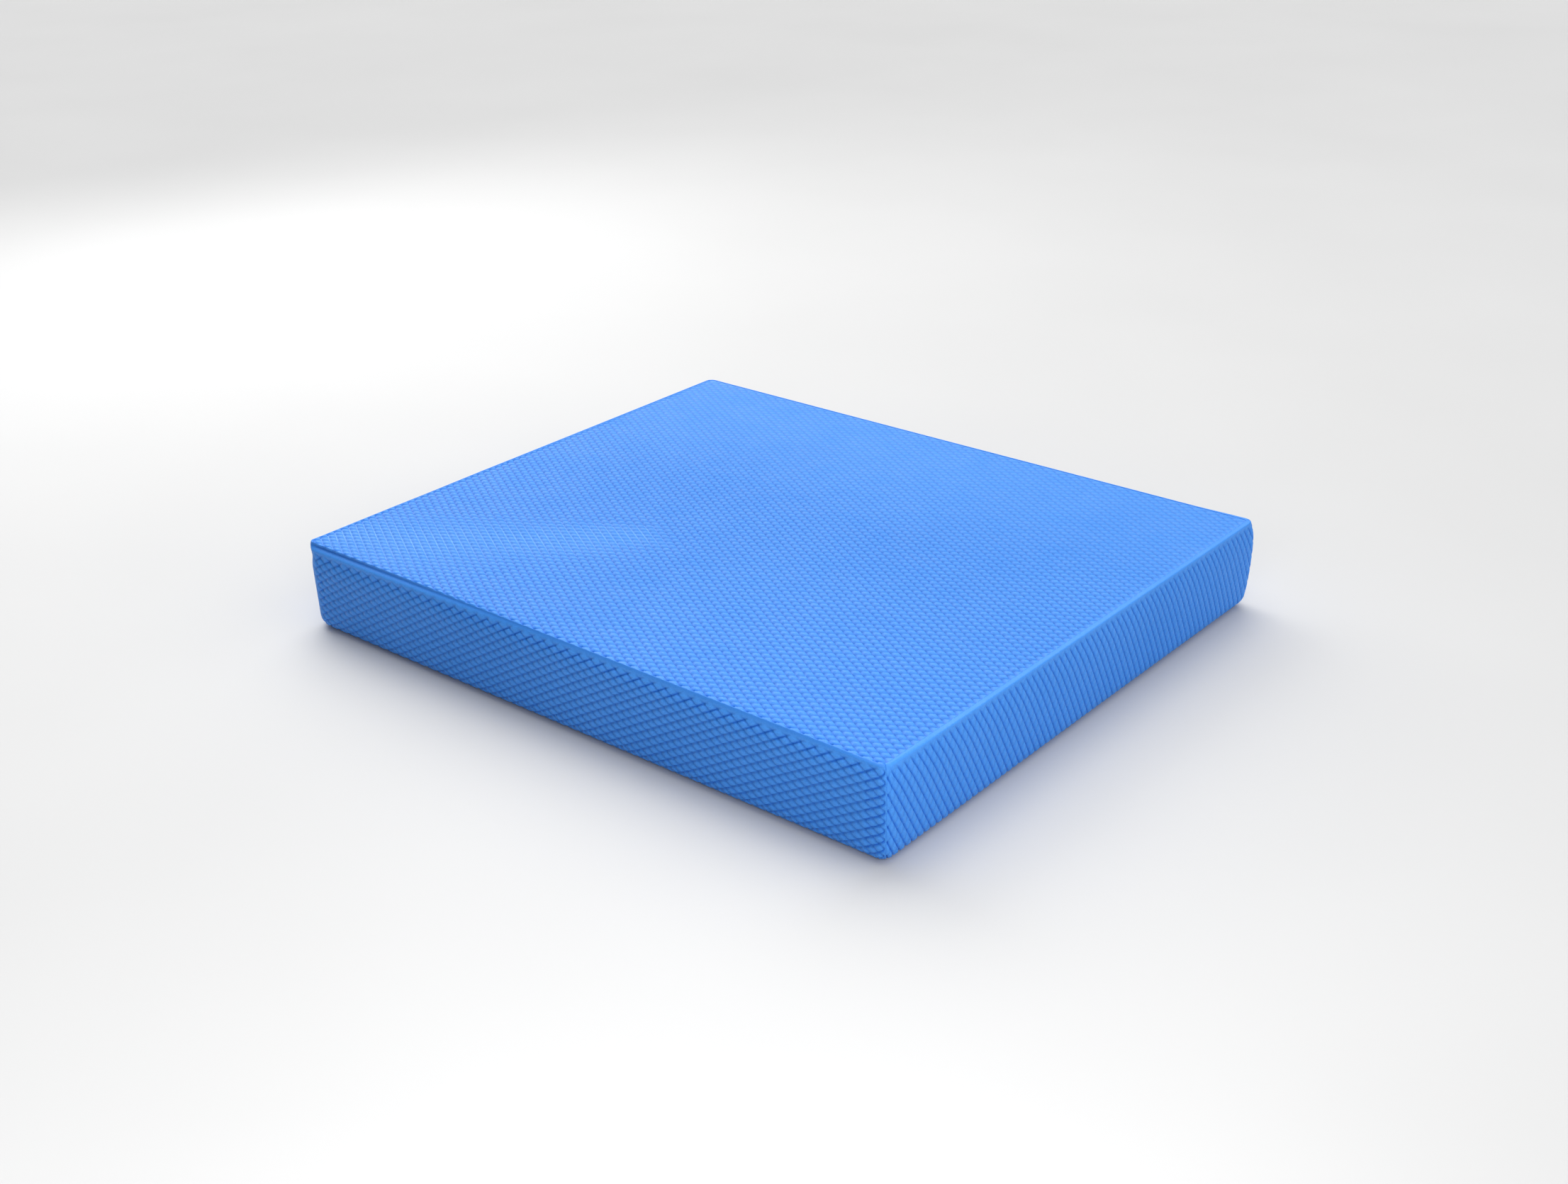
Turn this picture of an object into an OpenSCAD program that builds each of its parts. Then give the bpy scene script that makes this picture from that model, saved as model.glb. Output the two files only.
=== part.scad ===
// Balance pad: a foam core inside an embossed skin. The skin is a sheet on the top, a sheet on the
// underside, and four side strips that wrap over the rounded edges and meet at the upright corners.
// Millimetres. The origin is the middle of the underside, +X runs along the length, +Z is up.
// The front is the long side that faces -Y, and the right is the short side that faces +X.
// The embossing is finer than these solids, whose outer faces are the tops of its raised lands.

/* [Slab] */
// Length of the pad, along X
pad_l = 470; // [400:5:600]
// Width of the pad, along Y
pad_w = 400; // [300:5:500]
// Height of the pad, along Z
pad_h = 60; // [45:1:80]

/* [Rounded edges] */
// Radius of the four upright corners, seen from above
corner_r = 11; // [10:0.5:20]
// Radius of the edge around the standing face
top_edge_r = 5; // [3:0.5:9]
// Radius of the edge around the underside
base_edge_r = 9; // [3:0.5:9]

/* [Skin] */
// Thickness of the embossed skin
skin_t = 2; // [1:0.25:2.5]

/* [Hidden] */
// How far a cutting shape runs in from the sides of the slab, past every rounded edge
cut_in = 2 * corner_r;
// How far a cutting shape stands out from the faces of the slab
cut_out = 5;
round_fn = 48;
core_colour = "#8fb8ea";
face_colour = "#61a3ff";
long_side_colour = "#3f74c4";
short_side_colour = "#4a86dc";

// A rectangle centred on the origin whose four corners have radius r
module round_rectangle(x, y, r) {
    square([x - 2 * r, y], center = true);
    square([x, y - 2 * r], center = true);
    for (sx = [-1, 1], sy = [-1, 1])
        translate([sx * (x / 2 - r), sy * (y / 2 - r)]) circle(r, $fn = round_fn);
}

// Half of the slab's upright section, from its middle plane to the side at half_width, moved in by
// inset all round. The drawing's +Y is the pad's +Z
module half_section(half_width, inset) {
    side = half_width - inset;
    top = pad_h - inset;
    r_top = top_edge_r - inset;
    r_base = base_edge_r - inset;
    translate([0, base_edge_r]) square([side, pad_h - base_edge_r - top_edge_r]);
    translate([0, pad_h / 2]) square([side - r_top, top - pad_h / 2]);
    translate([0, inset]) square([side - r_base, pad_h / 2 - inset]);
    translate([side - r_top, top - r_top]) circle(r_top, $fn = round_fn);
    translate([side - r_base, inset + r_base]) circle(r_base, $fn = round_fn);
}

module section(width, inset) {
    for (half = [0, 1])
        mirror([half, 0]) half_section(width / 2, inset);
}

// Stands a drawing up and draws it out along Y, or along X when it is turned a quarter
module upright(length, turn = 0) {
    rotate([0, 0, turn]) rotate([90, 0, 0]) linear_extrude(length, center = true) children();
}

// The slab with all its faces moved in by inset
module slab(inset = 0) {
    intersection() {
        linear_extrude(pad_h) round_rectangle(pad_l - 2 * inset, pad_w - 2 * inset, corner_r - inset);
        upright(pad_w) section(pad_l, inset);
        upright(pad_l, 90) section(pad_w, inset);
    }
}

// The outline of the flat face that a rounded edge of radius edge_r leaves, drawn out upwards
module face_column(edge_r, height) {
    linear_extrude(height) round_rectangle(pad_l - 2 * edge_r, pad_w - 2 * edge_r, corner_r - edge_r);
}

// A wedge seen from above that holds one side of length along, between the 45 degree planes
// through its two upright corners. The side is at depth from the middle, facing -Y, then is turned
module side_wedge(along, depth, turn) {
    rotate([0, 0, turn]) translate([0, -depth, -cut_out]) linear_extrude(pad_h + 2 * cut_out)
        polygon([
            [-along / 2 - cut_out, -cut_out],
            [along / 2 + cut_out, -cut_out],
            [along / 2 - cut_in, cut_in],
            [cut_in - along / 2, cut_in],
        ]);
}

// The skin of one side, from the edge of the top sheet round to the edge of the base sheet
module side_skin(along, depth, turn) {
    intersection() {
        difference() {
            slab();
            slab(skin_t);
            translate([0, 0, pad_h / 2]) face_column(top_edge_r, pad_h);
            translate([0, 0, -pad_h / 2]) face_column(base_edge_r, pad_h);
        }
        side_wedge(along, depth, turn);
    }
}

module foam_core() {
    color(core_colour) slab(skin_t);
}

module top_skin() {
    color(face_colour) translate([0, 0, pad_h - skin_t]) face_column(top_edge_r, skin_t);
}

module base_skin() {
    color(face_colour) face_column(base_edge_r, skin_t);
}

module front_skin() {
    color(long_side_colour) side_skin(pad_l, pad_w / 2, 0);
}

module back_skin() {
    color(long_side_colour) side_skin(pad_l, pad_w / 2, 180);
}

module left_skin() {
    color(short_side_colour) side_skin(pad_w, pad_l / 2, -90);
}

module right_skin() {
    color(short_side_colour) side_skin(pad_w, pad_l / 2, 90);
}

foam_core();
top_skin();
base_skin();
front_skin();
back_skin();
left_skin();
right_skin();
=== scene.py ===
"""A foam balance pad: an embossed skin of six pieces round a closed-cell foam core.

Metres, in the CAD frame: +X along the length, +Z up, the origin in the middle of the underside.
Each skin piece is cut from one flat diamond lattice, then laid on the slab, so that the grooves and
raised lands are real relief and run on from the top over its edges and down the sides.
"""

import math

import bmesh
import bpy
import numpy as np
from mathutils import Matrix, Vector
from mathutils.geometry import delaunay_2d_cdt


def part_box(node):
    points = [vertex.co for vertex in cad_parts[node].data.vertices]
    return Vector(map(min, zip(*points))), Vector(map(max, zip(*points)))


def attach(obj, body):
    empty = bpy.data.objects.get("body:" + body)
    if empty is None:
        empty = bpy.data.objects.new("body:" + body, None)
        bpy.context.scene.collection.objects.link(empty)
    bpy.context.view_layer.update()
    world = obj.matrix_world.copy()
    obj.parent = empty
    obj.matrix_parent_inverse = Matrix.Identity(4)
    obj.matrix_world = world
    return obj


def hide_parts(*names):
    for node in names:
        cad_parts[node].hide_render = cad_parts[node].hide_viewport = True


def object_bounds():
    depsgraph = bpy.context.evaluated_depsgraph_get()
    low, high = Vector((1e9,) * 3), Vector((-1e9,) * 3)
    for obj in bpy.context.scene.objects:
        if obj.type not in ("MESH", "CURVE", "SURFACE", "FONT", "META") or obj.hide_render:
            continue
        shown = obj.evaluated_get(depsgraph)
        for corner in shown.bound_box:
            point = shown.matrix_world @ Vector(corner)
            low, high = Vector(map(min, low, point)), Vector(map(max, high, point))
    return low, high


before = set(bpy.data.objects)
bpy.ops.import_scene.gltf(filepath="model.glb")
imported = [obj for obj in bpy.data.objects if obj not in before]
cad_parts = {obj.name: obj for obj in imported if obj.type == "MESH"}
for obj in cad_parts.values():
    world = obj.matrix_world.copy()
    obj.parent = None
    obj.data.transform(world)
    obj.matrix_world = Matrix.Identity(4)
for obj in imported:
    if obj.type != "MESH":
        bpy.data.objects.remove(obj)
CAD_LOW, CAD_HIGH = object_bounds()

MM = 0.001

# The slab, from the frame
HALF_LENGTH = CAD_HIGH.x
HALF_WIDTH = CAD_HIGH.y
HEIGHT = CAD_HIGH.z
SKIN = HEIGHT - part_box("top_skin")[0].z
TOP_EDGE_R = HALF_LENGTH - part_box("top_skin")[1].x
BASE_EDGE_R = HALF_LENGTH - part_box("base_skin")[1].x

# Each side, by its outward direction in plan: half its length, and how far out it stands
SIDES = {
    (0, -1): (HALF_LENGTH, HALF_WIDTH),
    (1, 0): (HALF_WIDTH, HALF_LENGTH),
    (0, 1): (HALF_LENGTH, HALF_WIDTH),
    (-1, 0): (HALF_WIDTH, HALF_LENGTH),
}

# Soft shape that the foam has and the CAD solids leave out
TAPER = 1.9 * MM  # how far each side leans in at the base
SHEET_CORNER_R = 3.5 * MM  # plan radius of the top sheet's corners
LIP_DEPTH = 12 * MM  # an upright corner reaches its own radius this far down the strip
# Plan radius of each upright corner high up and at the base
CORNER_R = {
    (-1, -1): (17 * MM, 17 * MM),
    (1, -1): (5.5 * MM, 12.5 * MM),
    (1, 1): (5.5 * MM, 15.5 * MM),
    (-1, 1): (9 * MM, 12.5 * MM),
}
SIDE_SAG = 0.0012  # share by which a side wanders in along its length
TOP_SAG = 0.006  # share by which the height wanders
WAVE_LENGTH = 0.37
SIDE_PHASES = (1.0, 2.2)  # of the waves along the sides, in radians
TOP_WAVES = ((0.7, 0.6), (0.8, 2.0))  # (turns per wave length, phase) along X and along Y
CORNER_POWER = 4  # an upright corner changes its radius mostly low down

# The top edge: a level rim, a crease, then a brow that turns down to the side.
# Each brow is (rim width, face angle below the crease).
CUT_BROW = (0, math.radians(60))  # at the front left corner, below the bare edge of the top sheet
SOFT_BROW = (0.6 * MM, math.radians(62))
CRISP_BROW = (2.4 * MM, math.radians(79))
RIM_SLOPE = math.radians(3)  # the rim falls outwards this much
BROW_STEPS = 400
CREASE = 1.0 * MM
TOP_ARC = 20 * MM  # length along the strip in which every kind of top edge has turned upright
# Kind of top edge, from -1 (cut) through 0 (soft) to 1 (crisp): at each corner, in the middle of
# each side, and over what distance from a corner the one turns into the other
EDGE_AT_CORNER = {(-1, -1): -1, (1, -1): 0.5, (1, 1): 1, (-1, 1): 0.5}
EDGE_AT_SIDE = {(0, -1): 0, (1, 0): 1, (0, 1): 0.5, (-1, 0): 0.5}
BLEND_REACH = {(-1, -1): 250 * MM, (1, -1): 60 * MM, (1, 1): 60 * MM, (-1, 1): 60 * MM}
LEAN_POWER = 2.5  # the sides lean in low down
LEAN_POWER_CUT = 1.0  # but evenly at the front left corner

# The embossing: raised rhombic lands between two families of straight grooves
LAND_LENGTH = 9.55 * MM  # long diagonal, along X
LAND_WIDTH = 5.65 * MM  # short diagonal, along Y
GROOVE_SHARE = 0.23  # half a groove's width, as a share of the distance between grooves
GROOVE_DEPTH = 1.25 * MM
CROSSING = 1.35  # depth where two grooves cross, in groove depths
FADE = 3.0 * MM  # a side strip reaches full relief over this distance
EDGE_FADE = 1.5 * MM  # the top and base sheets lose their relief towards a plain edge
BARE_CORNER = 0.6 * MM  # the side strips are smooth this close to the upright seams
BARE_FOLD_CORNER = 8 * MM  # and this close at the front left corner
CARRY = 1.2 * MM  # the top sheet's relief carries on over the front edge by this much
SEAM_WIDTH = 0.9 * MM
SEAM_DEPTH = 0.3 * MM
# Near the front left corner the strip folds in under the top sheet: a crease, a bead, a hollow.
# Each is (distance down the strip, half width, height)
FOLDS = (
    (1.9 * MM, 1.5 * MM, -1.15 * MM),
    (5.0 * MM, 1.7 * MM, 0.45 * MM),
    (9.2 * MM, 1.8 * MM, -0.5 * MM),
)
FOLD_END = 14 * MM  # the folds flatten out over this distance towards the upright seam
FOLD_CALM = 0.15  # share of the relief that is lost where the folds are
# The smooth band under the top sheet: its depth at the two ends of the front, and on other sides
BARE_LEFT = 8 * MM
BARE_RIGHT = 6 * MM
BARE_EVEN = 6.5 * MM
# A place along a side runs from -1 to 1
FRONT_FADE_AT = -0.9  # from here the front's band narrows and its folds fade
FRONT_NARROWS = 0.9  # the band takes this much to narrow
FRONT_FADE = 1.2  # and the folds take this much to fade
LEFT_FOLD_AT = 0.6  # from here the left side folds
LEFT_FOLD_RISE = 0.4  # and this much takes it to full folds
# Painted shade along the strips' top edge: how dark the crease is coloured, and the rest of the front
# edge
CREASE_SHADE = 1.0  # the crease is as dark as a groove of this depth
EDGE_SHADE = 0.55  # and so is the front edge beyond it, less strongly
# How deep the two groove families are on each face, as shares of GROOVE_DEPTH
FACE_GROOVES = (1.15, 1.25)
LONG_SIDE_GROOVES = (0.80, 1.0)
SHORT_SIDE_GROOVES = (0.4, 0.9)
BACK_RELIEF = 0.65  # share of the relief left along the back edge of the top and base sheets

# Extra cuts across the strips over the top edge, in millimetres down from the top sheet
TOP_CUTS = (0.45, 0.9, 1.4, 1.9, 2.4, 3.0, 3.6, 4.5, 5.5, 6.8, 8.4, 10)
ARC_STEPS = 6  # cuts across the rounded base edge
CORNER_STEPS = 5  # cuts round half an upright corner
LINING_STEP = 12 * MM  # point spacing of a skin's plain inner face
SHARP_ANGLE = math.radians(75)  # steeper edges between faces look sharp

# The core
CORE_GAP = 0.1 * MM  # between the core and the skins
CORE_AROUND = 240  # points round the core
CORE_EDGE_RINGS = 7  # rings over its top edge, and over its base edge
CORE_WALL_RINGS = 9
CORE_CAP_SHARES = (0.85, 0.6, 0.3)  # rings on its level faces, as shares of their outline


def smooth(a):
    """0 below 0 and 1 above 1, with a smooth step between."""
    a = np.clip(a, 0, 1)
    return a * a * (3 - 2 * a)


# ---------------------------------------------------------------- the flat embossed sheet


def lattice(x_low, x_high, y_low, y_high):
    """Points and quads of the diamond lattice that cover a rectangle, with lines along each groove's
    bottom and both its shoulders."""
    marks = np.array([0, GROOVE_SHARE, 1 - GROOVE_SHARE])
    reach_x = np.array([x_low, x_high]) / LAND_LENGTH
    reach_y = np.array([y_low, y_high]) / LAND_WIDTH

    def lines(low, high):
        return (np.arange(math.floor(low) - 1, math.ceil(high) + 1)[:, None] + marks).ravel()

    u = lines(reach_x[0] + reach_y[0], reach_x[1] + reach_y[1])
    v = lines(reach_x[0] - reach_y[1], reach_x[1] - reach_y[0])
    uu, vv = np.meshgrid(u, v, indexing="ij")
    points = np.stack([(uu + vv) / 2 * LAND_LENGTH, (uu - vv) / 2 * LAND_WIDTH], axis=-1)
    index = np.arange(uu.size).reshape(uu.shape)
    quads = np.stack([index[:-1, :-1], index[1:, :-1], index[1:, 1:], index[:-1, 1:]], axis=-1)
    quads = quads.reshape(-1, 4)
    middle = points.reshape(-1, 2)[quads].mean(axis=1)
    near_x = (middle[:, 0] > x_low - LAND_LENGTH) & (middle[:, 0] < x_high + LAND_LENGTH)
    near_y = (middle[:, 1] > y_low - LAND_WIDTH) & (middle[:, 1] < y_high + LAND_WIDTH)
    used, quads = np.unique(quads[near_x & near_y], return_inverse=True)
    return points.reshape(-1, 2)[used], quads.reshape(-1, 4)


def groove_depth(x, y, families):
    """How deep the embossing is at a point of the flat sheet, from 0 on a land to CROSSING.
    families gives the depth of the grooves that fall to the right, and of those that rise."""
    depth = 0
    for sign, share in zip((1, -1), families):
        along = x / LAND_LENGTH + sign * y / LAND_WIDTH
        off = np.abs(along - np.round(along))
        depth = depth + share * np.clip(1 - off / GROOVE_SHARE, 0, 1)
    return np.minimum(depth, CROSSING)


def bisect(bm, point, normal, clear):
    """Cuts the sheet along a line, and clears what lies past it if asked."""
    bmesh.ops.bisect_plane(
        bm,
        geom=bm.verts[:] + bm.edges[:] + bm.faces[:],
        dist=1e-6,
        plane_co=(*point, 0),
        plane_no=(*normal, 0),
        clear_outer=clear,
    )


def sheet(x_low, x_high, y_low, y_high):
    """A flat embossed sheet, trimmed to a rectangle."""
    points, quads = lattice(x_low, x_high, y_low, y_high)
    mesh = bpy.data.meshes.new("sheet")
    mesh.from_pydata([(x, y, 0) for x, y in points], [], quads.tolist())
    bm = bmesh.new()
    bm.from_mesh(mesh)
    bpy.data.meshes.remove(mesh)
    for point, normal in (
        ((x_low, 0), (-1, 0)),
        ((x_high, 0), (1, 0)),
        ((0, y_low), (0, -1)),
        ((0, y_high), (0, 1)),
    ):
        bisect(bm, point, normal, clear=True)
    return bm


# ---------------------------------------------------------------- laying a sheet on the slab


def settle(points):
    """The slow waviness of soft foam, the same for every piece, always inwards."""
    x, y, z = points.T
    turn = 2 * math.pi / WAVE_LENGTH

    def wave(a):
        return 0.5 + 0.5 * np.sin(a)

    rise = np.clip(z / HEIGHT, 0, 1)
    (turns_x, phase_x), (turns_y, phase_y) = TOP_WAVES
    wave_x = wave(turn * turns_x * x + phase_x)
    wave_y = wave(turn * turns_y * y + phase_y)
    return np.stack(
        [
            x * (1 - SIDE_SAG * wave(turn * y + SIDE_PHASES[0])),
            y * (1 - SIDE_SAG * wave(turn * x + SIDE_PHASES[1])),
            z - TOP_SAG * HEIGHT * rise * wave_x * wave_y,
        ],
        axis=1,
    )


def lay_flat(level, up):
    """Lays flat points on a level face that looks up or down."""

    def lay(x, y, height):
        return settle(np.stack([x, y, level + up * height], axis=1))

    return lay


def corner_radius(signs, down):
    """The plan radius of an upright corner at a distance down the strip from the top sheet."""
    high, low = CORNER_R[signs]
    lip = SHEET_CORNER_R + TOP_EDGE_R
    own = high + (low - high) * np.clip(down / STRIP, 0, 1) ** CORNER_POWER
    return lip + (own - lip) * smooth(down / LIP_DEPTH)


def brow(rim, angle):
    """The top edge's outline at equal steps over TOP_ARC: inset, drop and tilt of the face."""
    bend = (math.pi / 2 - angle) / (1 - math.sin(angle))  # length of the turn, per unit of width
    crease = min(rim, CREASE)
    turn = bend * (TOP_EDGE_R - rim - crease * math.cos(angle / 2))
    length = np.linspace(0, TOP_ARC, BROW_STEPS)
    start = RIM_SLOPE if rim else angle
    tilt = start + (angle - start) * smooth((length - rim) / CREASE)
    tilt = tilt + (math.pi / 2 - angle) * np.clip((length - rim - crease) / turn, 0, 1)
    out = np.cumsum(np.cos(tilt))
    drop = np.cumsum(np.sin(tilt)) * length[1]
    return TOP_EDGE_R * (out[-1] - out) / (out[-1] - out[0]), drop - drop[0], tilt


BROWS = [brow(*kind) for kind in (CUT_BROW, SOFT_BROW, CRISP_BROW)]
WALL = HEIGHT - BASE_EDGE_R - BROWS[1][1][-1]
BASE_ARC = BASE_EDGE_R * math.pi / 2
STRIP = TOP_ARC + WALL + BASE_ARC


def strip_profile(down, edge):
    """How far in and how high a strip is at a distance down from the top sheet, and how its face is
    turned, as (outward, upward) parts of its normal. edge is the kind of top edge, -1 to 1."""
    places = np.linspace(0, TOP_ARC, len(BROWS[0][0]))
    shares = np.clip(-edge, 0, 1), 1 - np.abs(edge), np.clip(edge, 0, 1)

    def blend(part, where):
        kinds = (np.interp(where, places, outline[part]) for outline in BROWS)
        return sum(share * kind for share, kind in zip(shares, kinds))

    inset, drop, tilt = (blend(part, down) for part in range(3))
    wall = np.clip((down - TOP_ARC) / WALL, 0, 1) * (HEIGHT - BASE_EDGE_R - blend(1, TOP_ARC))
    base_turn = np.clip((down - TOP_ARC - WALL) / BASE_EDGE_R, 0, math.pi / 2)
    z = HEIGHT - drop - wall - BASE_EDGE_R * np.sin(base_turn)
    power = LEAN_POWER + (LEAN_POWER_CUT - LEAN_POWER) * shares[0]
    inset = inset + BASE_EDGE_R * (1 - np.cos(base_turn)) + TAPER * (1 - z / HEIGHT) ** power
    outward = np.sin(tilt) * np.cos(base_turn)
    upward = np.cos(tilt) - np.sin(base_turn)
    return inset, z, outward, upward


def to_seam(half_along, radius):
    """The distance along a side from its middle to the seam halfway round a corner."""
    return half_along - radius + radius * math.pi / 4


def strip_half(half_along):
    """Half the length of a flat strip. It is cut for the sharpest corner, and shrinks to the rest."""
    return to_seam(half_along, CORNER_R[(1, 1)][0])


def lay_strip(out):
    """Wraps flat points over one side of the slab. out is the side's outward direction in plan."""
    half_along, half_out = SIDES[out]
    along = (-out[1], out[0])

    def signs_at(end):
        return tuple(int(round(out[k] + end * along[k])) for k in (0, 1))

    def lay(x, y, height):
        s = x * along[0] + y * along[1]
        down = x * out[0] + y * out[1] - (half_out - TOP_EDGE_R)
        end = np.where(s < 0, -1, 1)
        radius = np.where(
            s < 0, corner_radius(signs_at(-1), down), corner_radius(signs_at(1), down)
        )
        half = strip_half(half_along)
        edge = EDGE_AT_SIDE[out]
        for side in (-1, 1):
            corner = signs_at(side)
            near = smooth(1 - (half - side * s) / BLEND_REACH[corner])
            edge = edge + (EDGE_AT_CORNER[corner] - EDGE_AT_SIDE[out]) * near
        inset, z, outward, upward = strip_profile(down, edge)
        travel = np.abs(s) * to_seam(half_along, radius) / half
        straight = half_along - radius
        turn = np.clip((travel - straight) / radius, 0, None)
        reach = radius - inset
        a = end * (np.minimum(travel, straight) + reach * np.sin(turn))
        o = half_out - radius + reach * np.cos(turn)
        a = a + height * outward * end * np.sin(turn)
        o = o + height * outward * np.cos(turn)
        place = [a * along[k] + o * out[k] for k in (0, 1)]
        return settle(np.stack([*place, z + height * upward], axis=1))

    return lay


# ---------------------------------------------------------------- closing a skin piece


def border(bm):
    """The sheet's outline as one ring of vertices."""
    edges = [e for e in bm.edges if e.is_boundary]
    nexts = {}
    for e in edges:
        loop = e.link_loops[0]
        nexts[loop.vert] = loop.link_loop_next.vert
    first = edges[0].link_loops[0].vert
    ring = [first]
    while nexts[ring[-1]] is not first:
        ring.append(nexts[ring[-1]])
    return ring


def lining(bm, inner_points):
    """Closes the sheet with a thin edge all round and a plain inner face through inner_points.
    The inner face's vertices are marked by a height of -1."""
    ring = border(bm)
    outline = [Vector(v.co.xy) for v in ring]
    count = len(ring)
    loose = [Vector(p) for p in inner_points]
    edges = [(i, (i + 1) % count) for i in range(count)]
    points, _, faces, origin, _, _ = delaunay_2d_cdt(outline + loose, edges, [], 1, 1e-9)
    inner = [bm.verts.new((p.x, p.y, -1)) for p in points]
    place = {}
    for new, sources in enumerate(origin):
        for source in sources:
            place[source] = new
    for i, j in edges:
        bm.faces.new([ring[j], ring[i], inner[place[i]], inner[place[j]]])
    for face in faces:
        bm.faces.new([inner[i] for i in reversed(face)])


def finish_piece(name, bm, lay, height_of, relief):
    """Lays the closed flat sheet on the slab and makes it an object, with its painted shade kept as a
    point attribute.
    """
    bmesh.ops.recalc_face_normals(bm, faces=bm.faces[:])
    flat = np.array([v.co for v in bm.verts])
    is_inner = flat[:, 2] < 0
    height = np.where(is_inner, -SKIN, height_of(flat[:, 0], flat[:, 1]))
    # Painted shade: each point's darkness is its groove depth, and the inner face is fully dark, so
    # the thin cut edge is painted darker where it shows
    shade = np.where(is_inner, CROSSING, relief(flat[:, 0], flat[:, 1]))
    placed = lay(flat[:, 0], flat[:, 1], height)
    mesh = bpy.data.meshes.new(name)
    bm.to_mesh(mesh)
    bm.free()
    mesh.vertices.foreach_set("co", placed.astype(np.float32).ravel())
    groove_shade = mesh.attributes.new("groove_shade", "FLOAT", "POINT")
    groove_shade.data.foreach_set("value", shade.astype(np.float32))
    mesh.shade_smooth()
    mesh.set_sharp_from_angle(angle=SHARP_ANGLE)
    mesh.update()
    piece = bpy.data.objects.new(name, mesh)
    bpy.context.scene.collection.objects.link(piece)
    return piece


def seam_dip(edge_distance, depth):
    """How far the skin rolls in towards a seam."""
    return depth * np.clip(1 - edge_distance / SEAM_WIDTH, 0, 1) ** 2


# ---------------------------------------------------------------- top and base sheets


def face_sheet(name, half_x, half_y, corner_radii, level, up):
    """A level sheet that faces up or down. corner_radii holds a radius for each corner."""
    bm = sheet(-half_x, half_x, -half_y, half_y)
    for inward in (SEAM_WIDTH, SEAM_WIDTH / 2):
        for side in (-1, 1):
            bisect(bm, (side * (half_x - inward), 0), (side, 0), clear=False)
            bisect(bm, (0, side * (half_y - inward)), (0, side), clear=False)
    for (sx, sy), radius in corner_radii.items():
        for step in range(1, CORNER_STEPS + 1):
            turn = math.pi / 2 * step / (CORNER_STEPS + 1)
            normal = (sx * math.cos(turn), sy * math.sin(turn))
            centre = (sx * (half_x - radius), sy * (half_y - radius))
            point = tuple(centre[k] + radius * normal[k] for k in (0, 1))
            bisect(bm, point, normal, clear=True)

    def edge_distance(x, y):
        distance = np.minimum(half_x - np.abs(x), half_y - np.abs(y))
        for (sx, sy), radius in corner_radii.items():
            dx = sx * x - (half_x - radius)
            dy = sy * y - (half_y - radius)
            in_corner = (dx > 0) & (dy > 0)
            distance = np.where(in_corner, radius - np.hypot(dx, dy), distance)
        return distance

    def plain_distance(x, y):
        """Distance to the nearest edge but the front one, where the relief stays full."""
        return np.minimum(half_x - np.abs(x), half_y - y)

    # The relief also sets the painted shade: the deeper a point, the darker its colour
    def relief(x, y):
        to_back = smooth(y / half_y)
        show = smooth(plain_distance(x, y) / EDGE_FADE)
        return groove_depth(x, y, FACE_GROOVES) * (1 - (1 - BACK_RELIEF) * to_back) * show

    def height_of(x, y):
        dip = seam_dip(edge_distance(x, y), SEAM_DEPTH)
        return -GROOVE_DEPTH * relief(x, y) - dip

    margin = LINING_STEP / 2
    xs = np.arange(-half_x + margin, half_x - margin, LINING_STEP)
    ys = np.arange(-half_y + margin, half_y - margin, LINING_STEP)
    lining(bm, [(x, y) for x in xs for y in ys])
    return finish_piece(name, bm, lay_flat(level, up), height_of, relief)


# ---------------------------------------------------------------- side strips


def bump(distance, centre, width):
    """A smooth bump of height 1."""
    return np.exp(-(((distance - centre) / width) ** 2))


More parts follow.
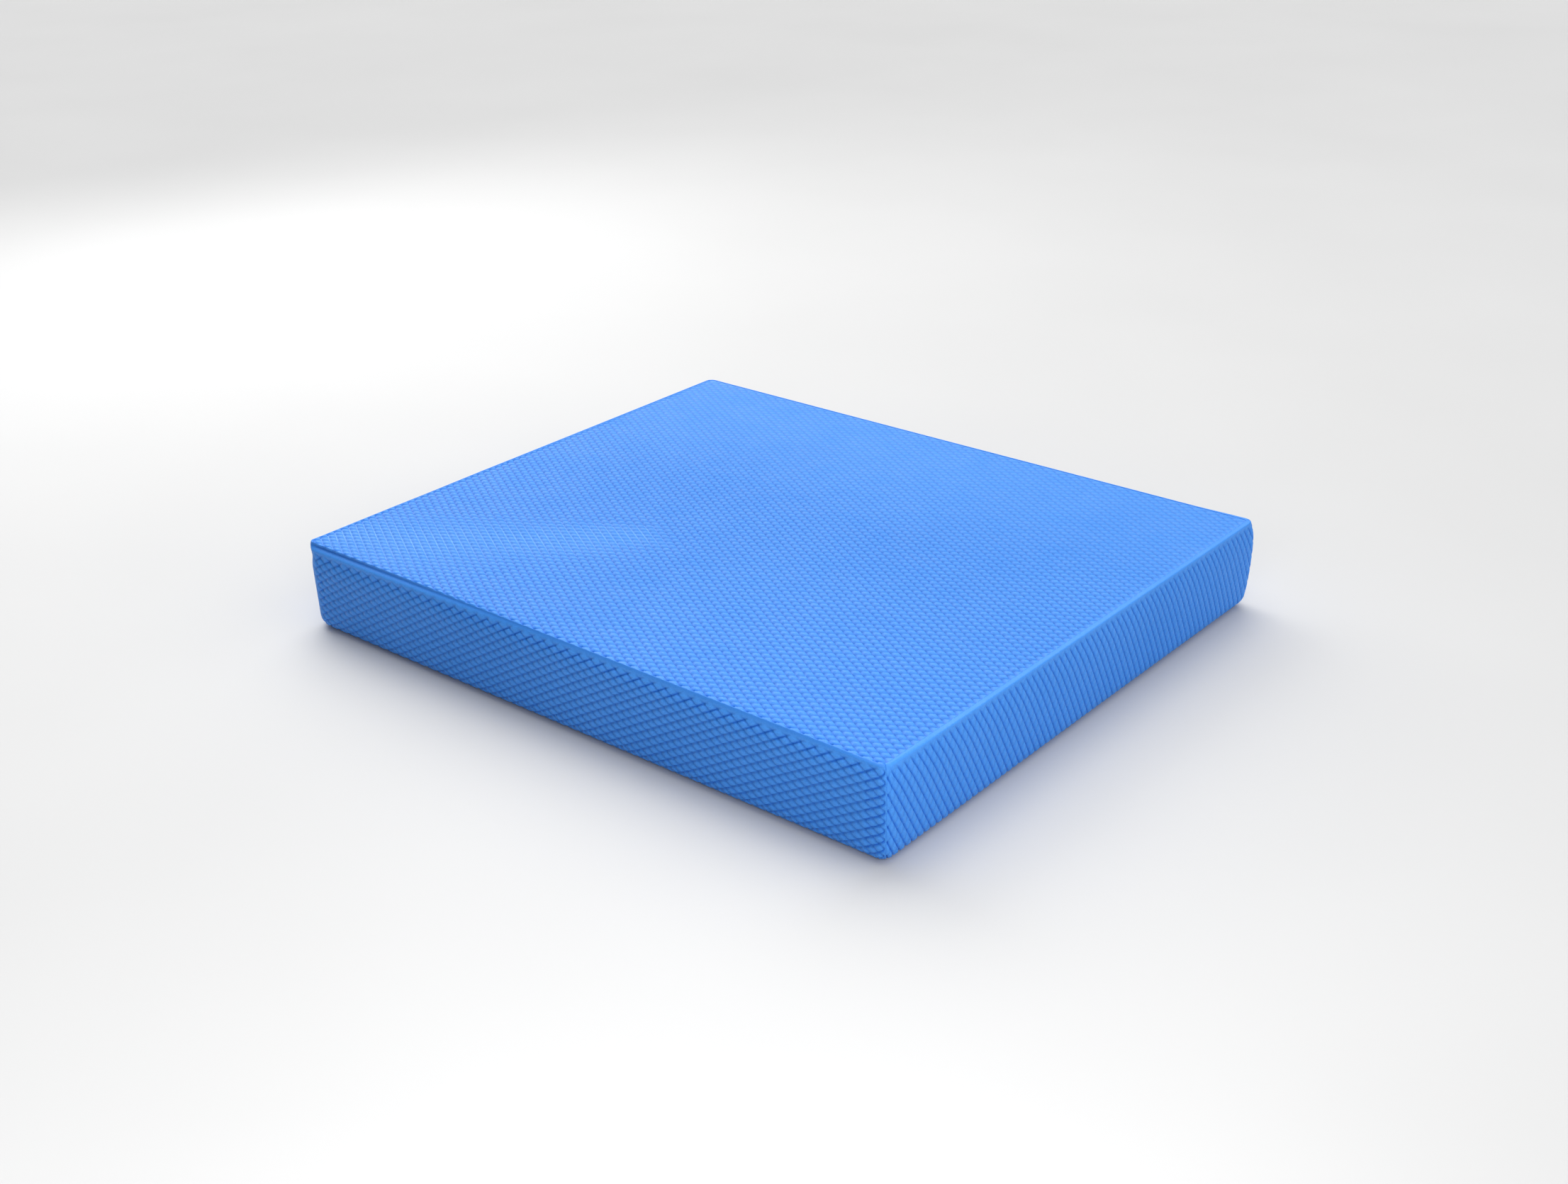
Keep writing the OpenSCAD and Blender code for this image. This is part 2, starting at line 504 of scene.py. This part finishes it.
def side_strip(name, out, grooves, bare, fold, carry):
    """The strip over one side. bare and fold are functions of the place along it, -1 to 1: how far
    the smooth band under the top sheet reaches, and how strong the folds there are. carry is how far
    the top sheet's relief carries on over the edge, or 0 for a plain edge."""
    half_along, half_out = SIDES[out]
    along = (-out[1], out[0])
    half = strip_half(half_along)
    start = half_out - TOP_EDGE_R
    corner = [
        (start * out[k] - half * along[k], (start + STRIP) * out[k] + half * along[k]) for k in (0, 1)
    ]
    bm = sheet(*sorted(corner[0]), *sorted(corner[1]))

    def cut_down(down):
        bisect(bm, tuple((start + down) * out[k] for k in (0, 1)), out, clear=False)

    def cut_along(s):
        bisect(bm, tuple(s * along[k] for k in (0, 1)), along, clear=False)

    arc_steps = np.arange(1, ARC_STEPS + 1) / ARC_STEPS
    top_cuts = [down * MM for down in TOP_CUTS]
    base_cuts = TOP_ARC + WALL + BASE_ARC * (arc_steps - 1 / ARC_STEPS)
    for down in (*top_cuts, *base_cuts, STRIP - SEAM_WIDTH):
        cut_down(down)
    corner_arc = max(CORNER_R[(-1, -1)]) * math.pi / 4
    corner_cuts = half - corner_arc * np.arange(1, CORNER_STEPS + 1) / CORNER_STEPS
    for s in (half - SEAM_WIDTH / 2, half - SEAM_WIDTH, *corner_cuts):
        cut_along(s)
        cut_along(-s)

    def parts(x, y):
        s = x * along[0] + y * along[1]
        down = x * out[0] + y * out[1] - start
        return s / half, down, half - np.abs(s)

    def relief(x, y):
        place, down, to_end = parts(x, y)
        show = smooth((down - bare(place) + FADE) / FADE)
        carried = (1 - fold(place)) * (1 - smooth(down / carry)) if carry else 0
        plain_end = BARE_CORNER + (BARE_FOLD_CORNER - BARE_CORNER) * fold(place)
        show = np.maximum(show, carried) * smooth((to_end - plain_end / 2) / plain_end)
        return groove_depth(x, y, grooves) * show * (1 - FOLD_CALM * fold(place))

    # Painted shade: points are coloured darker by their groove depth, and a dark band is painted
    # along the crease under the top sheet; on a strip that carries the top's relief the band runs,
    # less dark, along the whole edge
    def shade(x, y):
        place, down, _ = parts(x, y)
        at, width, _ = FOLDS[0]
        dark = EDGE_SHADE + (CREASE_SHADE - EDGE_SHADE) * fold(place) if carry else fold(place)
        return np.maximum(relief(x, y), dark * bump(down, at, width))

    def height_of(x, y):
        place, down, to_end = parts(x, y)
        dip = np.maximum(seam_dip(to_end, SEAM_DEPTH), seam_dip(STRIP - down, SEAM_DEPTH))
        folds = sum(rise * bump(down, at, width) for at, width, rise in FOLDS)
        folds = folds * fold(place) * smooth(to_end / FOLD_END)
        return folds - GROOVE_DEPTH * relief(x, y) - dip

    rows = np.concatenate(
        [top_cuts[::2], np.arange(TOP_ARC, TOP_ARC + WALL, LINING_STEP), base_cuts]
    )
    columns = np.concatenate([np.arange(0, half - corner_arc, LINING_STEP), corner_cuts[::-1]])
    inner = [
        tuple((start + down) * out[k] + side * s * along[k] for k in (0, 1))
        for down in rows
        for s in columns
        for side in ((-1, 1) if s > 0 else (1,))
    ]
    lining(bm, inner)
    return finish_piece(name, bm, lay_strip(out), height_of, shade)


# ---------------------------------------------------------------- the core


def core_block(name, gap):
    """The closed foam block inside the skins, in rings from the middle of its top to its base."""
    downs = np.concatenate(
        [
            np.linspace(0, TOP_ARC, CORE_EDGE_RINGS),
            np.linspace(TOP_ARC, TOP_ARC + WALL, CORE_WALL_RINGS)[1:-1],
            np.linspace(TOP_ARC + WALL, STRIP, CORE_EDGE_RINGS),
        ]
    )
    places = np.linspace(-1, 1, CORE_AROUND // len(SIDES), endpoint=False)
    rings = []
    for down in downs:
        ring = []
        for out, (half_along, half_out) in SIDES.items():
            s = places * strip_half(half_along)
            outward = half_out - TOP_EDGE_R + down
            x = s * -out[1] + outward * out[0]
            y = s * out[0] + outward * out[1]
            ring.append(lay_strip(out)(x, y, np.full(len(s), -SKIN - gap)))
        rings.append(np.concatenate(ring))
    caps = [
        [ring * [share, share, 1] for share in CORE_CAP_SHARES] for ring in (rings[0], rings[-1])
    ]
    rings = caps[0][::-1] + rings + caps[1]
    count = len(rings[0])

    def at(r, i):
        return r * count + i % count

    faces = [
        (at(r, i), at(r, i + 1), at(r + 1, i + 1), at(r + 1, i))
        for r in range(len(rings) - 1)
        for i in range(count)
    ]
    faces.append(tuple(range(count - 1, -1, -1)))
    faces.append(tuple(at(len(rings) - 1, i) for i in range(count)))
    mesh = bpy.data.meshes.new(name)
    mesh.from_pydata(np.concatenate(rings).tolist(), [], faces)
    bm = bmesh.new()
    bm.from_mesh(mesh)
    bmesh.ops.recalc_face_normals(bm, faces=bm.faces[:])
    bm.to_mesh(mesh)
    bm.free()
    mesh.shade_smooth()
    piece = bpy.data.objects.new(name, mesh)
    bpy.context.scene.collection.objects.link(piece)
    return piece


# ---------------------------------------------------------------- materials


class Nodes:
    """A small helper that adds nodes to a material's tree and links them."""

    def __init__(self, name):
        self.material = bpy.data.materials.new(name)
        self.material.use_nodes = True
        self.tree = self.material.node_tree
        self.shader = self.tree.nodes["Principled BSDF"]

    def add(self, kind, **settings):
        node = self.tree.nodes.new(kind)
        for key, value in settings.items():
            setattr(node, key, value)
        return node

    def link(self, source, target):
        self.tree.links.new(source, target)

    def noise(self, where, scale, detail=2.0, roughness=0.5):
        node = self.add("ShaderNodeTexNoise")
        node.inputs["Scale"].default_value = scale
        node.inputs["Detail"].default_value = detail
        node.inputs["Roughness"].default_value = roughness
        self.link(where, node.inputs["Vector"])
        return node.outputs["Fac"]

    def spread(self, value, low, high, to_low, to_high):
        """value from low to high becomes to_low to to_high, held at the ends."""
        node = self.add("ShaderNodeMapRange")
        for key, number in (
            ("From Min", low),
            ("From Max", high),
            ("To Min", to_low),
            ("To Max", to_high),
        ):
            node.inputs[key].default_value = number
        self.link(value, node.inputs["Value"])
        return node.outputs["Result"]

    def mix(self, share, first, second):
        """A colour between two, each a colour or a socket."""
        node = self.add("ShaderNodeMix", data_type="RGBA")
        self.link(share, node.inputs["Factor"])
        for socket, colour in ((node.inputs[6], first), (node.inputs[7], second)):
            if isinstance(colour, tuple):
                socket.default_value = (*colour, 1)
            else:
                self.link(colour, socket)
        return node.outputs[2]

    def bump(self, height, distance, strength, before=None):
        node = self.add("ShaderNodeBump")
        node.inputs["Distance"].default_value = distance
        node.inputs["Strength"].default_value = strength
        self.link(height, node.inputs["Height"])
        if before is not None:
            self.link(before, node.inputs["Normal"])
        return node.outputs["Normal"]


LAND_BLUE = (0.058, 0.292, 0.850)
LAND_BLUE_PALE = (0.068, 0.312, 0.885)
# Dark blue of the painted shade in grooves and creases, also used for the fine specks of the grain
GROOVE_SHADE_AND_SPECK_BLUE = (0.020, 0.152, 0.600)
CORE_BLUE = (0.16, 0.42, 0.95)
CORE_CELL_BLUE = (0.06, 0.24, 0.72)
FLOOR_GREY = (0.64, 0.64, 0.64)
FLOOR_GREY_PALE = (0.66, 0.66, 0.66)


def skin_material():
    """Moulded elastomer foam skin: satin, with a fine dense grain, slow changes of tone, and painted
    shade that darkens the grooves, the crease under the top sheet and the sheet's cut edge.
    """
    n = Nodes("embossed_foam_skin")
    place = n.add("ShaderNodeTexCoord").outputs["Object"]
    tone = n.spread(n.noise(place, scale=9, detail=3), 0.35, 0.65, 0, 1)
    speckle = n.spread(n.noise(place, scale=1400, detail=1), 0.4, 0.7, 0, 0.25)
    land = n.mix(tone, LAND_BLUE, LAND_BLUE_PALE)
    land = n.mix(speckle, land, GROOVE_SHADE_AND_SPECK_BLUE)
    # Painted shade: the deeper a point lies in a groove or crease, the nearer its colour goes to the
    # dark blue
    groove_shade = n.add("ShaderNodeAttribute", attribute_name="groove_shade").outputs["Fac"]
    colour = n.mix(n.spread(groove_shade, 0.1, CROSSING, 0, 1), land, GROOVE_SHADE_AND_SPECK_BLUE)
    n.link(colour, n.shader.inputs["Base Color"])
    gloss = n.spread(n.noise(place, scale=60, detail=3), 0.3, 0.7, 0.44, 0.56)
    n.link(gloss, n.shader.inputs["Roughness"])
    pores = n.noise(place, scale=1500, detail=2)
    peel = n.noise(place, scale=260, detail=2)
    grain = n.bump(pores, distance=0.05 * MM, strength=0.5)
    skin = n.bump(peel, distance=0.12 * MM, strength=0.4, before=grain)
    n.link(skin, n.shader.inputs["Normal"])
    n.shader.inputs["Specular IOR Level"].default_value = 0.22
    return n.material


def core_material():
    """Cut closed-cell foam: matt, with small round cells."""
    n = Nodes("closed_cell_foam")
    place = n.add("ShaderNodeTexCoord").outputs["Object"]
    cells = n.add("ShaderNodeTexVoronoi")
    cells.inputs["Scale"].default_value = 1100
    n.link(place, cells.inputs["Vector"])
    depth = n.spread(cells.outputs["Distance"], 0.0, 0.6, 0, 1)
    tone = n.spread(n.noise(place, scale=25, detail=3), 0.3, 0.7, 0, 0.35)
    colour = n.mix(depth, CORE_CELL_BLUE, CORE_BLUE)
    n.link(n.mix(tone, colour, CORE_CELL_BLUE), n.shader.inputs["Base Color"])
    gloss = n.spread(n.noise(place, scale=300), 0.3, 0.7, 0.75, 0.9)
    n.link(gloss, n.shader.inputs["Roughness"])
    pits = n.bump(depth, distance=0.3 * MM, strength=0.6)
    n.link(pits, n.shader.inputs["Normal"])
    return n.material


def floor_material():
    """A plain pale floor: matt, with slight changes of tone."""
    n = Nodes("pale_floor")
    place = n.add("ShaderNodeTexCoord").outputs["Object"]
    tone = n.spread(n.noise(place, scale=3), 0.3, 0.7, 0, 1)
    n.link(n.mix(tone, FLOOR_GREY, FLOOR_GREY_PALE), n.shader.inputs["Base Color"])
    n.shader.inputs["Roughness"].default_value = 0.9
    n.shader.inputs["Specular IOR Level"].default_value = 0.1
    return n.material


# ---------------------------------------------------------------- the pieces

base_half = (HALF_LENGTH - BASE_EDGE_R - TAPER, HALF_WIDTH - BASE_EDGE_R - TAPER)
lip_radii = {signs: SHEET_CORNER_R for signs in CORNER_R}
foot_radii = {signs: low - BASE_EDGE_R - TAPER for signs, (_, low) in CORNER_R.items()}


def front_bare(place):
    """The smooth band narrows from the left end to the middle."""
    return BARE_LEFT - (BARE_LEFT - BARE_RIGHT) * smooth((place - FRONT_FADE_AT) / FRONT_NARROWS)


def even_bare(place):
    return BARE_EVEN + 0 * place


def front_fold(place):
    """The folds are full at the left end and gone beyond the middle."""
    return 1 - smooth((place - FRONT_FADE_AT) / FRONT_FADE)


def left_fold(place):
    """On the left side the folds are only at its front end."""
    return smooth((place - LEFT_FOLD_AT) / LEFT_FOLD_RISE)


def no_fold(place):
    return 0 * place


front = ((0, -1), LONG_SIDE_GROOVES, front_bare, front_fold, CARRY)
right = ((1, 0), SHORT_SIDE_GROOVES, even_bare, no_fold, 0)
back = ((0, 1), LONG_SIDE_GROOVES, even_bare, no_fold, 0)
left = ((-1, 0), SHORT_SIDE_GROOVES, even_bare, left_fold, 0)
top_half = (HALF_LENGTH - TOP_EDGE_R, HALF_WIDTH - TOP_EDGE_R)
skins = {
    "top_skin": face_sheet("top_skin_embossed", *top_half, lip_radii, HEIGHT, 1),
    "base_skin": face_sheet("base_skin_embossed", *base_half, foot_radii, 0, -1),
    "front_skin": side_strip("front_skin_embossed", *front),
    "right_skin": side_strip("right_skin_embossed", *right),
    "back_skin": side_strip("back_skin_embossed", *back),
    "left_skin": side_strip("left_skin_embossed", *left),
}
skin_look = skin_material()
for node, piece in skins.items():
    piece.data.materials.append(skin_look)
    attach(piece, "root")
    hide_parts(node)

core = core_block("foam_core_block", CORE_GAP)
core.data.materials.append(core_material())
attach(core, "root")
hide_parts("foam_core")

# ---------------------------------------------------------------- floor, light and camera

FLOOR_HALF = 30
FLOOR_GAP = 0.1 * MM  # the floor lies this far under the pad
SOFT_ANGLE = math.radians(60)  # wide suns give soft shadows
# Each sun is (name, where its light comes from, strength)
SUNS = (
    ("key_back_left", (-0.49, 0.45, 0.75), 2.1),
    ("overhead", (0, 0, 1), 1.12),
    ("right", (1, -0.1, 0.4), 0.8),
    ("right_back", (0.8, 0.45, 0.5), 0.62),
)
# Each panel is (name, place, power in watts, side length)
PANELS = (
    ("near_panel", (0.45, -0.6, 0.35), 1.2, 0.3),
    ("left_panel", (-1.0, 0.3, 0.75), 4.7, 0.9),
)
# The camera, fitted to the outline of the real pad in its picture
CAMERA_PLACE = (0.7329, -0.8754, 0.5577)
CAMERA_TURN = (64.62, 0.95, 39.37)  # degrees about X, Y and Z
CAMERA_LENS = 44.52  # millimetres, on a sensor of this width:
SENSOR_WIDTH = 36


def make_floor():
    """One wide square under the pad."""
    mesh = bpy.data.meshes.new("floor")
    signs = ((-1, -1), (1, -1), (1, 1), (-1, 1))
    corners = [(x * FLOOR_HALF, y * FLOOR_HALF, -FLOOR_GAP) for x, y in signs]
    mesh.from_pydata(corners, [], [(0, 1, 2, 3)])
    floor = bpy.data.objects.new("floor", mesh)
    bpy.context.scene.collection.objects.link(floor)
    mesh.materials.append(floor_material())


def make_light(name, kind, at, energy, **settings):
    """A light that looks at the origin."""
    data = bpy.data.lights.new(name, kind)
    data.energy = energy
    for key, value in settings.items():
        setattr(data, key, value)
    light = bpy.data.objects.new(name, data)
    light.location = at
    light.rotation_euler = (-Vector(at)).to_track_quat("-Z", "Y").to_euler()
    bpy.context.scene.collection.objects.link(light)


def make_world(strength, seen):
    """Even light from all round. The camera sees it as bright as the floor."""
    world = bpy.data.worlds.new("studio")
    world.use_nodes = True
    tree = world.node_tree
    fill = tree.nodes["Background"]
    fill.inputs["Strength"].default_value = strength
    backdrop = tree.nodes.new("ShaderNodeBackground")
    backdrop.inputs["Color"].default_value = (seen, seen, seen, 1)
    fill.inputs["Color"].default_value = (1, 1, 1, 1)
    mix = tree.nodes.new("ShaderNodeMixShader")
    path = tree.nodes.new("ShaderNodeLightPath")
    tree.links.new(path.outputs["Is Camera Ray"], mix.inputs["Fac"])
    tree.links.new(fill.outputs["Background"], mix.inputs[1])
    tree.links.new(backdrop.outputs["Background"], mix.inputs[2])
    tree.links.new(mix.outputs["Shader"], tree.nodes["World Output"].inputs["Surface"])
    bpy.context.scene.world = world


def make_camera():
    data = bpy.data.cameras.new("camera")
    data.lens = CAMERA_LENS
    data.sensor_width = SENSOR_WIDTH
    camera = bpy.data.objects.new("camera", data)
    camera.location = CAMERA_PLACE
    camera.rotation_euler = [math.radians(turn) for turn in CAMERA_TURN]
    bpy.context.scene.collection.objects.link(camera)
    bpy.context.scene.camera = camera


make_floor()
make_world(strength=0.08, seen=0.94)
for name, place, energy in SUNS:
    make_light(name, "SUN", place, energy, angle=SOFT_ANGLE)
for name, place, energy, size in PANELS:
    make_light(name, "AREA", place, energy, shape="SQUARE", size=size)
make_camera()
bpy.context.scene.view_settings.view_transform = "Standard"
